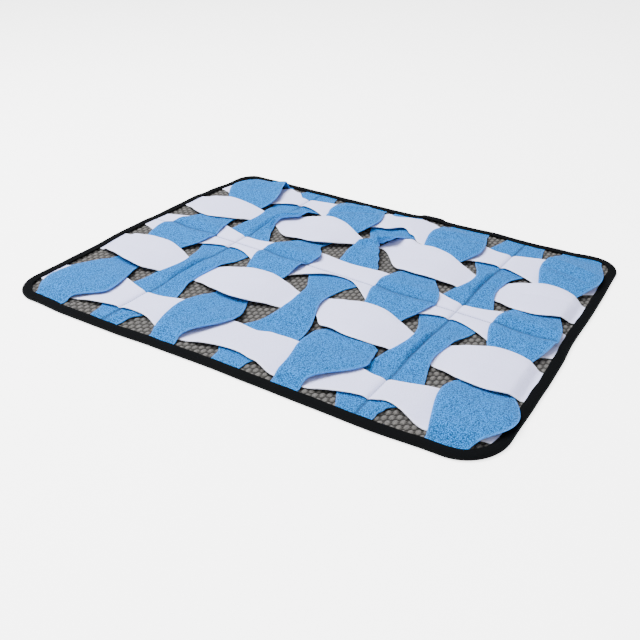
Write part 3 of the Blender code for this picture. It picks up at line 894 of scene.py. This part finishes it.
def lump_height(x, y, width, length):
    """Height from 0 to 1 of the lumpy weave: a dome over each point of a brick lattice, as the highest
    of this column's and the next columns' elliptical domes."""
    row = y - ROW_SLOPE * x
    height = np.zeros_like(x)
    column = np.round(x / width)
    for here in (column - 1, column, column + 1):
        off_x = x / width - here
        v = row / length + 0.5 * (here % 2)
        off_y = v - np.round(v)
        height = np.maximum(height, 1.0 - (off_x / DOME[0]) ** 2 - (off_y / DOME[1]) ** 2)
    return np.sqrt(np.clip(height, 0.0, 1.0))


def lumpy_top(rim, width, length):
    """Points of the lumpy top in plan and its quads: a slanted grid cut to the rim by moving the points
    outside it to it. Gives also the points on the rim, in order, and their places on it."""
    across = np.arange(-GRID_COLUMNS, GRID_COLUMNS + 1) * width / CELLS
    along = np.arange(-GRID_ROWS, GRID_ROWS + 1) * length / CELLS
    x, v = np.meshgrid(across, along, indexing="ij")
    points = np.stack((x.ravel(), (v + ROW_SLOPE * x).ravel()), axis=1)
    place, inside = nearest_on(rim, points)
    moved = np.where(inside[:, None], points, on_line(rim, place))
    columns, rows = x.shape
    i, j = np.meshgrid(np.arange(columns - 1), np.arange(rows - 1), indexing="ij")
    corner = (i * rows + j).ravel()
    quads = np.stack((corner, corner + rows, corner + rows + 1, corner + 1), axis=1)
    quads = quads[inside[quads].any(axis=1)]
    used, quads = np.unique(quads, return_inverse=True)
    on_rim = np.flatnonzero(~inside[used])
    loop = on_rim[np.argsort(place[used][on_rim], kind="stable")]
    return moved[used], quads.reshape(-1, 4), loop, place[used][loop]


def base_cloth():
    """The grey cloth: the lumpy top, then a rim, a step and a flat underside that fan to the middle."""
    sizes = bpy.context.scene.snuffle_mat_sizes
    width, length = sizes.lump_width / MM, sizes.lump_length / MM
    edge = outline(arc_steps=12, edge_step=8.0)
    normal = normals_of(edge)
    foot = edge - normal * (TAPE_WIDTH + GAP)
    flat, quads, loop, place = lumpy_top(edge - normal * RIM, width, length)
    lump = lump_height(flat[:, 0], flat[:, 1], width, length)
    lump[loop] = RIM_LUMP
    top = np.column_stack((flat, BASE_TOP - sizes.lump_relief / MM * (1.0 - lump)))
    around, inner = flat[loop], on_line(foot, place)
    level = TAPE_SOLE + GAP
    walls = [np.column_stack((ring, np.full(len(loop), z))) for ring, z in
             ((around, level), (inner, level), (inner, 0.0))]
    count, total = len(loop), len(top)
    rings = np.concatenate((loop, total + np.arange(3 * count)))
    wall_quads = rings[ring_quads(count, 4, closed=False)]
    last = total + 2 * count + np.arange(count)
    middle = total + 3 * count
    fan = np.stack((last, np.roll(last, -1), np.full(count, middle)), axis=1)
    points = np.concatenate((top, *walls, [[0.0, 0.0, 0.0]]))
    values = np.concatenate((lump, np.full(3 * count + 1, PLAIN_LUMP)))
    faces = quads.tolist() + wall_quads.tolist() + fan.tolist()
    return put_mesh("base_cloth", points, faces, lumpy_cloth(), {"lump": values})


class SNUFFLE_OT_base_cloth(bpy.types.Operator):
    """Make the lumpy grey cloth that everything is sewn to."""

    bl_idname = "snuffle.base_cloth"
    bl_label = "Base cloth"

    def execute(self, context):
        made = turned_out(base_cloth())
        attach(made, "root")
        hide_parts("base_panel")
        return {"FINISHED"}


# ---- tape ----

JOIN = (22.0, 62.0)  # where the tape's end laps over its start on the back edge
JOIN_LIFT = 1.5  # how far that lap stands up
JOIN_EASE = 3.0  # length over which it eases at both ends
TAPE_SEAM = 11.0  # inset of the line of stitches
TAPE_RIPPLE = ((0.25, 5.3, 0.0), (0.2, 13.0, 1.0))  # ripples of the inner edge: height, run, phase
TAPE_ROLL = (0.18, 8.1, 0.6)  # unevenness of its rounded outer edge, in the same way
TAPE_DIP = (0.32, 0.7)  # depth and half width of the line that its stitches press in
TAPE_INNER = 9.0  # inset where the rounded outer edge ends and the ripple starts
TAPE_EASE = 4.0  # length over which both ease there
ROLL_START = 4.6  # height from which the outer edge is uneven
LAP_OUT = 0.8  # how far the lap stands out
LAP_INSET = 2.9  # inset up to which it does


def tape_line():
    """The mat's outer edge in the fine steps that the tape is made in, and its normals."""
    edge = outline(arc_steps=16, edge_step=3.6)
    return edge, normals_of(edge)


def tape_section():
    """Points round the folded tape, from the underside's inner edge anticlockwise: inset and height.
    The outer fold is half an ellipse, and the limbs' inner edges are rounded."""
    turn = np.radians(np.linspace(-90.0, 90.0, 11))
    half = TAPE_TOP / 2.0
    fold = np.column_stack((3.0 - 3.0 * np.cos(turn), half + half * np.sin(turn)))
    slot_top = TAPE_TOP - TAPE_LIMB
    top = ((6.0, TAPE_TOP), (8.5, TAPE_TOP), (10.0, TAPE_TOP), (11.0, TAPE_TOP), (12.0, TAPE_TOP),
           (12.7, TAPE_TOP - 0.15), (13.0, TAPE_TOP - 0.5), (12.8, slot_top + 0.1), (12.4, slot_top))
    inside = ((TAPE_NOSE, slot_top), (TAPE_NOSE, TAPE_SOLE))
    sole = ((12.8, TAPE_SOLE), (13.0, 0.45), (12.8, 0.0), (8.0, 0.0))
    return np.concatenate((fold, top, inside, sole))


def tape_lap(x, y):
    """1 where the tape's end laps over its start, easing to 0 at both ends of the lap."""
    return smooth((x - JOIN[0]) / JOIN_EASE) * smooth((JOIN[1] - x) / JOIN_EASE) * (y > 200.0)


def tape_mesh(finish):
    """The tape: its section carried round the outline, with its stitched line pressed in by a bell, a
    ripple of sine waves along its inner edge and a raised lap where its two ends meet."""
    edge, normal = tape_line()
    step = np.linalg.norm(np.roll(edge, -1, axis=0) - edge, axis=1)
    run = np.concatenate(([0.0], np.cumsum(step)[:-1]))
    inset, height = tape_section().T[:, :, None]
    upper = height > TAPE_TOP / 2.0
    ripple = sum(high * np.sin(run / length + phase) for high, length, phase in TAPE_RIPPLE)
    shift = ripple * smooth((inset - TAPE_INNER) / TAPE_EASE) * upper
    dip = TAPE_DIP[0] * np.exp(-((inset - TAPE_SEAM) / TAPE_DIP[1]) ** 2) * upper
    uneven = TAPE_ROLL[0] * np.sin(run / TAPE_ROLL[1] + TAPE_ROLL[2])
    roll = uneven * smooth(height - ROLL_START) * smooth((TAPE_INNER - inset) / TAPE_EASE)
    lap = tape_lap(*edge.T)
    raised = height - dip + roll + JOIN_LIFT * lap * upper
    outward = LAP_OUT * lap * (inset < LAP_INSET)
    plan = edge - normal * (inset + shift - outward)[..., None]
    points = np.concatenate((plan, raised[..., None]), axis=2).reshape(-1, 3)
    faces = ring_quads(len(edge), len(inset), closed=True)
    return put_mesh("edge_tape", points, faces.tolist(), finish)


class SNUFFLE_OT_edge_tape(bpy.types.Operator):
    """Make the black tape folded round the edge."""

    bl_idname = "snuffle.edge_tape"
    bl_label = "Edge tape"

    def execute(self, context):
        colours = context.scene.snuffle_mat_colours
        made = turned_out(tape_mesh(tape_cloth("black_tape", colours.tape, sheen=0.015)))
        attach(made, "root")
        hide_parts("edge_binding")
        return {"FINISHED"}


# ---- strips ----


def finished_strips(kind, finish):
    """Make every strip of a kind, attach each to the root and hide the solid strip that it stands for.
    """
    for number in kind.sizes:
        made = turned_out(strip_mesh(kind, number, finish))
        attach(made, "root")
        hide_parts(f"{kind.name}_strip_{number}")


class SNUFFLE_OT_blue_strips(bpy.types.Operator):
    """Make the blue fleece strips that run front to back."""

    bl_idname = "snuffle.blue_strips"
    bl_label = "Blue strips"

    def execute(self, context):
        # the edge colour is a painted highlight along the cut edges
        blue = context.scene.snuffle_mat_colours.blue
        # the seam colour is a painted crease shade
        finished_strips(BLUES, fleece(
            "blue_fleece", colour=toned(blue, 0.001, 2.0, 2.15), deep=toned(blue, 0.005, 0.46, 0.42),
            edge=toned(blue, 0.06, 2.2, 2.1), seam_shade=toned(blue, 0.014, 0.40, 0.32),
            tufts=850.0, contrast=3.7, relief=0.0013, sheen=0.045))
        return {"FINISHED"}


class SNUFFLE_OT_white_strips(bpy.types.Operator):
    """Make the white fleece strips that run left to right."""

    bl_idname = "snuffle.white_strips"
    bl_label = "White strips"

    def execute(self, context):
        # the edge colour is a painted highlight along the cut edges
        white = context.scene.snuffle_mat_colours.white
        # the seam colour is a painted crease shade
        finished_strips(WHITES, fleece(
            "white_fleece", colour=opaque(white, 1.04), deep=opaque(white, 0.9),
            edge=opaque(white, 1.3), seam_shade=opaque(white, 0.72),
            tufts=640.0, contrast=0.8, relief=0.0004, sheen=0.05))
        return {"FINISHED"}


# ---- stitches ----

STITCH_SHARE = 0.78  # share of the pitch that one stitch spans
STITCH_ROUND = 6  # points round the thread
STITCH_RINGS = (0.0, 0.2, 0.5, 0.8, 1.0)  # places of those rings along a stitch
STITCH_SINK = (0.55, 0.05, -0.06, 0.05, 0.55)  # depth of a stitch's rings under the cloth's surface
STITCH_THIN = (0.55, 0.95, 1.0, 0.95, 0.55)  # share of the thread's thickness at each ring
SEAM_INSET = 8.0  # how far from a strip's ends its seam stops
TAPE_SEAM_DEPTH = 0.3  # depth of the tape's pressed line under its top


def top_of(x, y):
    """Height of the highest strip's top side at points, from every strip's surface that covers them."""
    top = np.full_like(x, LOW)
    for kind in (BLUES, WHITES):
        along, across = along_across(kind, x, y)
        for number in kind.sizes:
            lower, upper = reaches(kind, number, along)
            offset = across - centre_line(kind, number, along)
            side = offset / np.where(offset < 0.0, lower, upper)
            z = surface(kind, number, along, np.clip(side, -1.0, 1.0))[2] + CLOTH
            top = np.where(np.abs(side) < 1.0, np.maximum(top, z), top)
    return top


def stitches(name, rings, across, finish):
    """Rows of stitches: rings of points round each stitch's bent line, closed by a point at each end.
    rings holds (stitch, ring, xyz) centres and across the level direction square to each stitch."""
    half = bpy.context.scene.snuffle_mat_sizes.thread / MM / 2.0
    turn = (2.0 * np.pi * np.arange(STITCH_ROUND) / STITCH_ROUND)[:, None]
    around = np.cos(turn) * across[:, None, None, :] + np.sin(turn) * np.array((0.0, 0.0, 1.0))
    thin = np.array(STITCH_THIN)[None, :, None, None]
    tube = rings[:, :, None, :] + half * thin * around
    count, steps = rings.shape[:2]
    points = np.concatenate((tube.reshape(-1, 3), rings[:, 0], rings[:, -1]))
    one = ring_quads(STITCH_ROUND, steps, closed=False)
    starts = np.arange(count)[:, None, None] * steps * STITCH_ROUND
    quads = (starts + one).reshape(-1, 4)
    i = np.arange(STITCH_ROUND)
    j = (i + 1) % STITCH_ROUND
    first, last = starts[:, :, 0], starts[:, :, 0] + (steps - 1) * STITCH_ROUND
    tips = count * steps * STITCH_ROUND + np.repeat(np.arange(count)[:, None], STITCH_ROUND, axis=1)
    caps = [np.stack((first + j, first + i, tips), axis=-1),
            np.stack((last + i, last + j, tips + count), axis=-1)]
    faces = quads.tolist() + np.concatenate(caps).reshape(-1, 3).tolist()
    return turned_out(put_mesh(name, points, faces, finish))


def seam_rings(kind, number, pitch):
    """Stitch centres along a strip's middle, sunk into the pinched cloth."""
    start, end = strip_ends(kind, number)
    starts = np.arange(start + SEAM_INSET, end - SEAM_INSET - pitch, pitch)
    place = starts[:, None] + np.array(STITCH_RINGS) * pitch * STITCH_SHARE
    x, y = along_across(kind, place, centre_line(kind, number, place))
    pinch = CLOTH * SEAM_PINCH / 2.0
    return np.stack((x, y, top_of(x, y) - pinch - np.array(STITCH_SINK)), axis=-1)


def tape_rings(pitch):
    """Stitch centres along the tape's pressed line, and the level direction across each stitch."""
    edge, normal = tape_line()
    line = edge - normal * TAPE_SEAM
    step = np.linalg.norm(np.roll(line, -1, axis=0) - line, axis=1)
    run = np.concatenate(([0.0], np.cumsum(step)))
    count = round(run[-1] / pitch)
    place = (np.arange(count)[:, None] + np.array(STITCH_RINGS) * STITCH_SHARE) * run[-1] / count
    loop, side = (np.concatenate((points, points[:1])) for points in (line, normal))
    x, y = (np.interp(place, run, loop[:, k]) for k in (0, 1))
    lap = tape_lap(x, y) * JOIN_LIFT
    rings = np.stack((x, y, TAPE_TOP - TAPE_SEAM_DEPTH + lap - np.array(STITCH_SINK)), axis=-1)
    middle = place[:, len(STITCH_RINGS) // 2]
    across = [np.interp(middle, run, side[:, k]) for k in (0, 1)]
    return rings, np.stack(across + [np.zeros(count)], axis=-1)


class SNUFFLE_OT_stitches(bpy.types.Operator):
    """Make the stitches of the three seams and of the tape."""

    bl_idname = "snuffle.stitches"
    bl_label = "Stitches"

    def execute(self, context):
        pitch = context.scene.snuffle_mat_sizes.stitch_pitch / MM
        colours = context.scene.snuffle_mat_colours
        rows, sideways = [], []
        for kind in (BLUES, WHITES):
            for number in kind.seams:
                rows.append(seam_rings(kind, number, pitch))
                sideways.append(np.tile((*along_across(kind, 0.0, 1.0), 0.0), (len(rows[-1]), 1)))
        thread = tape_cloth("seam_thread", colours.thread, sheen=0.02)
        made = stitches("seam_stitches", np.concatenate(rows), np.concatenate(sideways), thread)
        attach(made, "root")
        thread = tape_cloth("black_thread", colours.tape, sheen=0.02)
        made = stitches("tape_stitches", *tape_rings(pitch), thread)
        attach(made, "root")
        return {"FINISHED"}


# ---- stage ----

CAMERA_PLACE = (0.5050, -0.7508, 0.5005)  # in metres, as the other sizes of the stage
CAMERA_TURN = -27.93  # degrees the view turns from +Y towards -X
CAMERA_DIP = 32.34  # degrees it looks down
CAMERA_ROLL = 1.32  # degrees it leans
CAMERA_LENS = 41.3  # focal length in millimetres
CAMERA_SHIFT = (-0.116, 0.003)
FLOOR_SIZE = 60.0
FLOOR_GLOW = 3.0  # keeps the floor's shadows faint
SKY_STRENGTH = 0.62
LAMPS = (  # name, place, size, power
    ("key", (-0.8, -0.35, 2.2), 1.7, 190.0),
    ("fill", (0.9, -1.4, 1.7), 1.6, 14.0),
)
FLOOR_LEVEL = -0.0002  # a hair under the base, so that the two never share a plane


class SNUFFLE_OT_stage(bpy.types.Operator):
    """Make the pale floor, the soft lights and the camera."""

    bl_idname = "snuffle.stage"
    bl_label = "Stage"

    def execute(self, context):
        scene = context.scene
        half = FLOOR_SIZE / 2.0
        mesh = bpy.data.meshes.new("floor")
        plan = ((-half, -half), (half, -half), (half, half), (-half, half))
        mesh.from_pydata([(x, y, FLOOR_LEVEL) for x, y in plan], [], [(0, 1, 2, 3)])
        mesh.materials.append(finish_shader(
            "floor_paint", Base_Color=(0.94, 0.94, 0.94, 1.0), Roughness=0.9,
            Emission_Color=(1.0, 1.0, 1.0, 1.0), Emission_Strength=FLOOR_GLOW)[0])
        floor = bpy.data.objects.new("floor", mesh)
        scene.collection.objects.link(floor)

        scene.world = bpy.data.worlds.new("studio")
        scene.world.use_nodes = True
        sky = scene.world.node_tree.nodes["Background"]
        inputs(sky, Color=(1.0, 1.0, 1.0, 1.0), Strength=SKY_STRENGTH)
        for name, place, size, power in LAMPS:
            lamp = bpy.data.lights.new(name, "AREA")
            lamp.size = size
            lamp.energy = power
            made = bpy.data.objects.new(name, lamp)
            made.matrix_world = Matrix.Translation(place) @ looking(-np.array(place))
            scene.collection.objects.link(made)

        eye = bpy.data.cameras.new("camera")
        eye.lens = CAMERA_LENS
        eye.shift_x, eye.shift_y = CAMERA_SHIFT
        eye.clip_start = 0.01
        camera = bpy.data.objects.new("camera", eye)
        turn, dip = np.radians(CAMERA_TURN), np.radians(CAMERA_DIP)
        forward = (np.sin(turn) * np.cos(dip), np.cos(turn) * np.cos(dip), -np.sin(dip))
        roll = Matrix.Rotation(np.radians(CAMERA_ROLL), 4, "Z")
        camera.matrix_world = Matrix.Translation(CAMERA_PLACE) @ looking(forward) @ roll
        scene.collection.objects.link(camera)
        scene.camera = camera
        return {"FINISHED"}


def looking(forward):
    """Rotation whose -Z is a direction and whose X is level: right = forward x up, and up = right x
    forward."""
    ahead = np.asarray(forward, float) / np.linalg.norm(forward)
    right = np.cross(ahead, (0.0, 0.0, 1.0))
    right /= np.linalg.norm(right)
    up = np.cross(right, ahead)
    return Matrix(np.column_stack((right, up, -ahead)).tolist()).to_4x4()


# ---- panel and running ----

class SNUFFLE_PT_panel(bpy.types.Panel):
    """Sizes, colours and makers of the snuffle mat."""

    bl_idname = "SNUFFLE_PT_panel"
    bl_label = "Snuffle Mat"
    bl_space_type = "VIEW_3D"
    bl_region_type = "UI"
    bl_category = "Snuffle Mat"

    def draw(self, context):
        for group in (context.scene.snuffle_mat_sizes, context.scene.snuffle_mat_colours):
            box = self.layout.box()
            for name in group.__annotations__:
                box.prop(group, name)
        for maker in MAKERS:
            self.layout.operator(maker.bl_idname)


GROUPS = (SnuffleMatSizes, SnuffleMatColours)
MAKERS = (
    SNUFFLE_OT_base_cloth,
    SNUFFLE_OT_edge_tape,
    SNUFFLE_OT_blue_strips,
    SNUFFLE_OT_white_strips,
    SNUFFLE_OT_stitches,
    SNUFFLE_OT_stage,
)


def register():
    """Register the settings, the operators and the panel."""
    for one in (*GROUPS, *MAKERS, SNUFFLE_PT_panel):
        bpy.utils.register_class(one)
    bpy.types.Scene.snuffle_mat_sizes = bpy.props.PointerProperty(type=SnuffleMatSizes)
    bpy.types.Scene.snuffle_mat_colours = bpy.props.PointerProperty(type=SnuffleMatColours)


def unregister():
    """Take away what register() added."""
    del bpy.types.Scene.snuffle_mat_colours
    del bpy.types.Scene.snuffle_mat_sizes
    for one in reversed((*GROUPS, *MAKERS, SNUFFLE_PT_panel)):
        bpy.utils.unregister_class(one)


def main():
    """Make every piece in order."""
    register()
    bpy.ops.snuffle.base_cloth()
    bpy.ops.snuffle.edge_tape()
    bpy.ops.snuffle.blue_strips()
    bpy.ops.snuffle.white_strips()
    bpy.ops.snuffle.stitches()
    bpy.ops.snuffle.stage()


if __name__ == "__main__":
    main()
